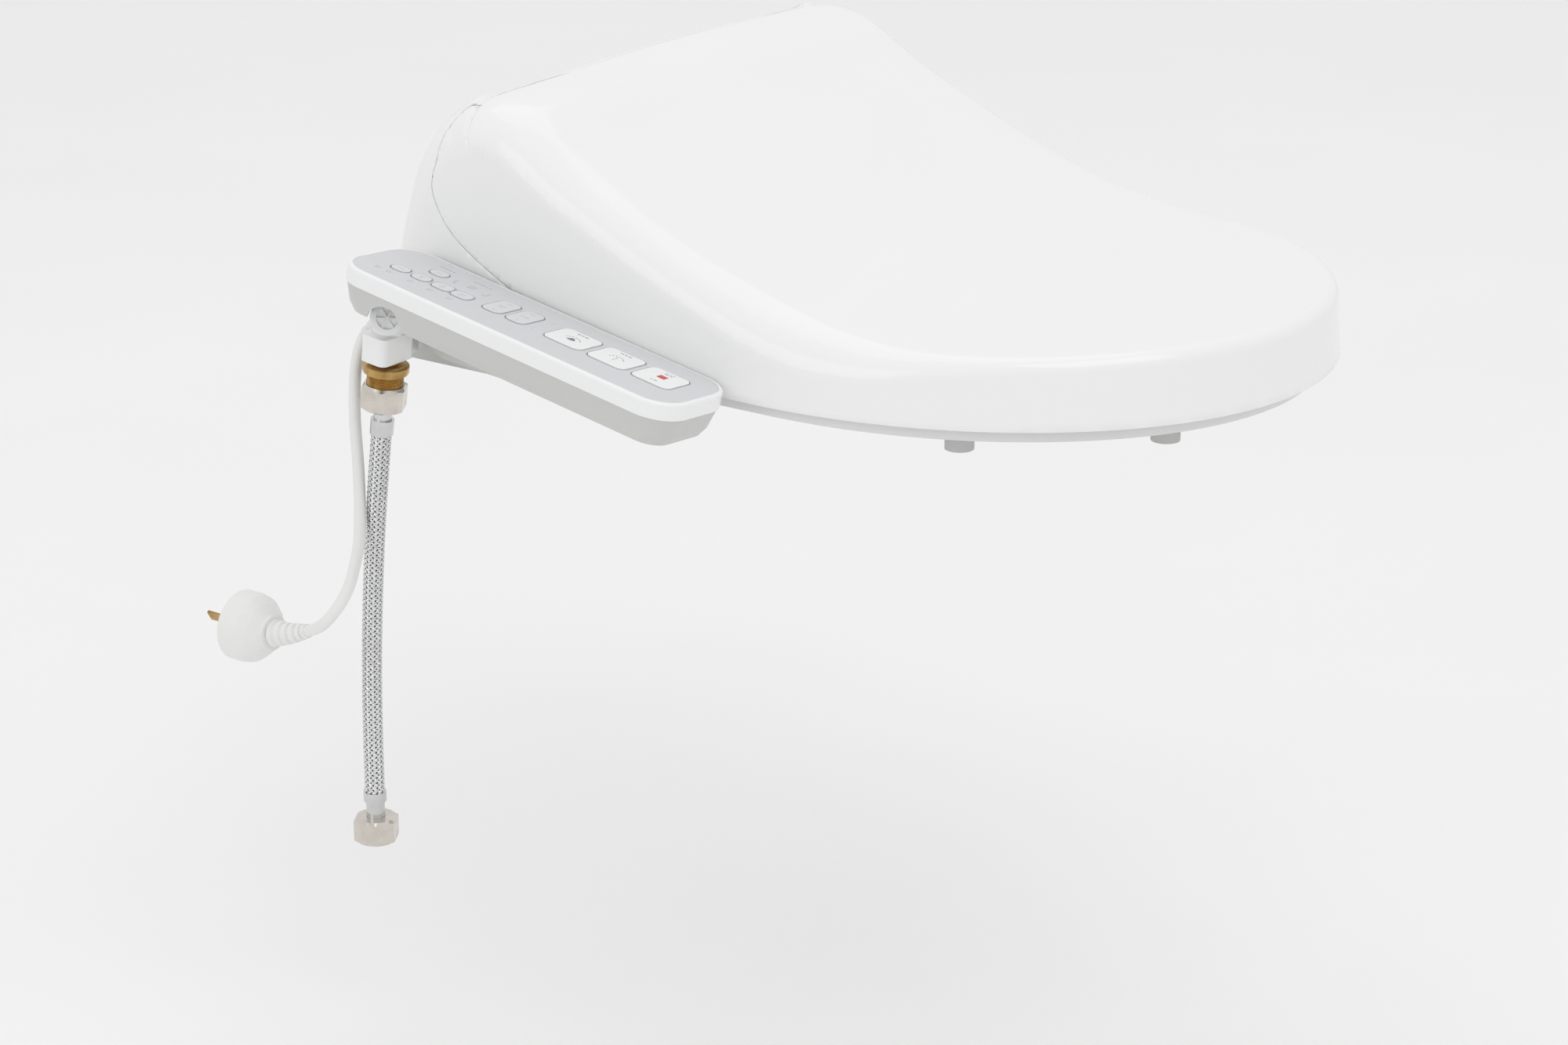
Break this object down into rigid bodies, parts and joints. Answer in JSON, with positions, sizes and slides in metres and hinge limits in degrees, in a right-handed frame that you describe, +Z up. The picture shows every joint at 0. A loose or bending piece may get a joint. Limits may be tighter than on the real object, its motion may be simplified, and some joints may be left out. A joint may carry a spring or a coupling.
{
  "type": "electric bidet seat",
  "caption": "Electric bidet toilet seat with domed lid, side control arm, retracting nozzles, warm air dryer, braided water hose, and mains cord.",
  "frame": {"origin": "midway between the two fixing bolts, on the pan's rim under the mounting plate", "axes": "+Z up, -Y towards the front of the seat, +Y towards the wall, -X towards the control arm"},
  "size_m": [0.4897, 0.547, 0.4388],
  "materials": {
    "white_gloss": "moulded, high gloss",
    "white_satin": "moulded, satin",
    "panel_silver": "printed film, fine satin",
    "warm_grey": "moulded, fine grain",
    "key_white": "moulded, satin gloss",
    "inner_plastic": "moulded",
    "circuit": "coated board",
    "rubber_grey": "moulded",
    "cord_white": "soft sleeve",
    "steel": "bare",
    "nickel": "warm nickel plate",
    "brass": "turned",
    "braid": "woven wire",
    "foil": "thin foil"
  },
  "bodies": {
    "plate": {"mounting_plate": "white_satin", "bolt_inserts": "white_satin", "fixing_bolts": "steel", "bolt_nuts": "steel"},
    "lid": {"lid_shell": "white_gloss", "lid_bumpers": "rubber_grey"},
    "seat": {"seat_top": "white_gloss", "seat_bottom": "white_satin", "seat_heater_foil": "foil", "seat_bumpers": "rubber_grey"},
    "rear_nozzle": {"rear_wash_nozzle": "white_satin"},
    "front_nozzle": {"front_wash_nozzle": "white_satin"},
    "flap": {"dryer_flap": "warm_grey"},
    "fan": {"fan_impeller": "inner_plastic"},
    "drawer": {"deodoriser_drawer": "white_gloss", "filter_block": "inner_plastic"},
    "button": {"release_button": "white_satin"},
    "stop_key": {"stop_key": "key_white"},
    "rear_wash_key": {"rear_wash_key": "key_white"},
    "front_wash_key": {"front_wash_key": "key_white"},
    "pressure_rocker": {"pressure_rocker": "key_white"},
    "position_rocker": {"position_rocker": "key_white"},
    "water_heat_key": {"water_heat_key": "key_white"},
    "seat_heat_key": {"seat_heat_key": "key_white"},
    "power_save_key": {"power_save_key": "key_white"},
    "dryer_key": {"dryer_key": "key_white"},
    "massage_key": {"massage_key": "key_white"},
    "unit": {"upper_casing": "white_gloss", "lower_casing": "warm_grey", "casing_screws": "steel", "hinge_pins": "steel", "hinge_dampers": "inner_plastic", "arm_rim": "white_gloss", "panel_overlay": "panel_silver", "key_mat": "rubber_grey", "key_board": "circuit", "arm_tray": "warm_grey", "inlet_valve": "white_gloss", "vent_cap": "white_satin", "clip_block": "white_gloss", "steel_clip": "steel", "brass_adapter": "brass", "hose_nuts": "nickel", "hose_ferrules": "nickel", "braided_hose": "braid", "cord_gland": "cord_white", "power_cord": "cord_white", "plug_body": "cord_white", "plug_boot": "cord_white", "plug_pins": "brass", "nozzle_guide": "inner_plastic", "nozzle_motor": "inner_plastic", "fan_scroll": "inner_plastic", "fan_motor": "steel", "dryer_duct": "inner_plastic", "water_tank": "inner_plastic", "tank_heater": "steel", "solenoid_valve": "inner_plastic", "main_board": "circuit"}
  },
  "joints": [
    {"name": "unit_slide", "type": "slide", "parent": "plate", "child": "unit", "axis": [0, -1, 0], "range_m": [0, 0.06]},
    {"name": "lid_hinge", "type": "hinge", "parent": "unit", "child": "lid", "pos_m": [0, -0.02, 0.116], "axis": [-1, 0, 0], "range_deg": [0, 102]},
    {"name": "seat_hinge", "type": "hinge", "parent": "unit", "child": "seat", "pos_m": [0, -0.02, 0.116], "axis": [-1, 0, 0], "range_deg": [0, 91.8]},
    {"name": "rear_nozzle_slide", "type": "slide", "parent": "unit", "child": "rear_nozzle", "axis": [0, -0.848, -0.5299], "range_m": [0, 0.056]},
    {"name": "front_nozzle_slide", "type": "slide", "parent": "unit", "child": "front_nozzle", "axis": [0, -0.848, -0.5299], "range_m": [0, 0.056]},
    {"name": "flap_hinge", "type": "hinge", "parent": "unit", "child": "flap", "pos_m": [-0.075, -0.091, 0.0245], "axis": [-1, 0, 0], "range_deg": [0, 70]},
    {"name": "fan_spin", "type": "hinge", "parent": "unit", "child": "fan", "pos_m": [-0.066, -0.006, 0.03], "axis": [0, 0, 1], "continuous": true},
    {"name": "drawer_slide", "type": "slide", "parent": "unit", "child": "drawer", "axis": [1, 0, 0], "range_m": [0, 0.04]},
    {"name": "release_press", "type": "slide", "parent": "unit", "child": "button", "axis": [-1, 0, 0], "range_m": [0, 0.002], "stiffness_N_per_m": 1200, "springref_m": -0.0005},
    {"name": "stop_key_press", "type": "slide", "parent": "unit", "child": "stop_key", "axis": [-0.0934, 0.1912, -0.9771], "range_m": [0, 0.0008], "stiffness_N_per_m": 1500, "springref_m": -0.0003},
    {"name": "rear_wash_key_press", "type": "slide", "parent": "unit", "child": "rear_wash_key", "axis": [-0.0934, 0.1912, -0.9771], "range_m": [0, 0.0008], "stiffness_N_per_m": 1500, "springref_m": -0.0003},
    {"name": "front_wash_key_press", "type": "slide", "parent": "unit", "child": "front_wash_key", "axis": [-0.0934, 0.1912, -0.9771], "range_m": [0, 0.0008], "stiffness_N_per_m": 1500, "springref_m": -0.0003},
    {"name": "pressure_rocker_tilt", "type": "hinge", "parent": "unit", "child": "pressure_rocker", "pos_m": [-0.22346, -0.06752, 0.04941], "axis": [0, 0.9814, 0.192], "range_deg": [-2.5, 2.5], "stiffness_Nm_per_rad": 0.4},
    {"name": "position_rocker_tilt", "type": "hinge", "parent": "unit", "child": "position_rocker", "pos_m": [-0.22326, -0.05117, 0.05259], "axis": [0, 0.9814, 0.192], "range_deg": [-2.5, 2.5], "stiffness_Nm_per_rad": 0.4},
    {"name": "water_heat_key_press", "type": "slide", "parent": "unit", "child": "water_heat_key", "axis": [-0.0934, 0.1912, -0.9771], "range_m": [0, 0.0008], "stiffness_N_per_m": 1500, "springref_m": -0.0003},
    {"name": "seat_heat_key_press", "type": "slide", "parent": "unit", "child": "seat_heat_key", "axis": [-0.0934, 0.1912, -0.9771], "range_m": [0, 0.0008], "stiffness_N_per_m": 1500, "springref_m": -0.0003},
    {"name": "power_save_key_press", "type": "slide", "parent": "unit", "child": "power_save_key", "axis": [-0.0934, 0.1912, -0.9771], "range_m": [0, 0.0008], "stiffness_N_per_m": 1500, "springref_m": -0.0003},
    {"name": "dryer_key_press", "type": "slide", "parent": "unit", "child": "dryer_key", "axis": [-0.0934, 0.1912, -0.9771], "range_m": [0, 0.0008], "stiffness_N_per_m": 1500, "springref_m": -0.0003},
    {"name": "massage_key_press", "type": "slide", "parent": "unit", "child": "massage_key", "axis": [-0.0934, 0.1912, -0.9771], "range_m": [0, 0.0008], "stiffness_N_per_m": 1500, "springref_m": -0.0003}
  ],
  "couplings": [
    {"joint": "seat_hinge", "follows": "lid_hinge", "ratio": 0.9}
  ]
}
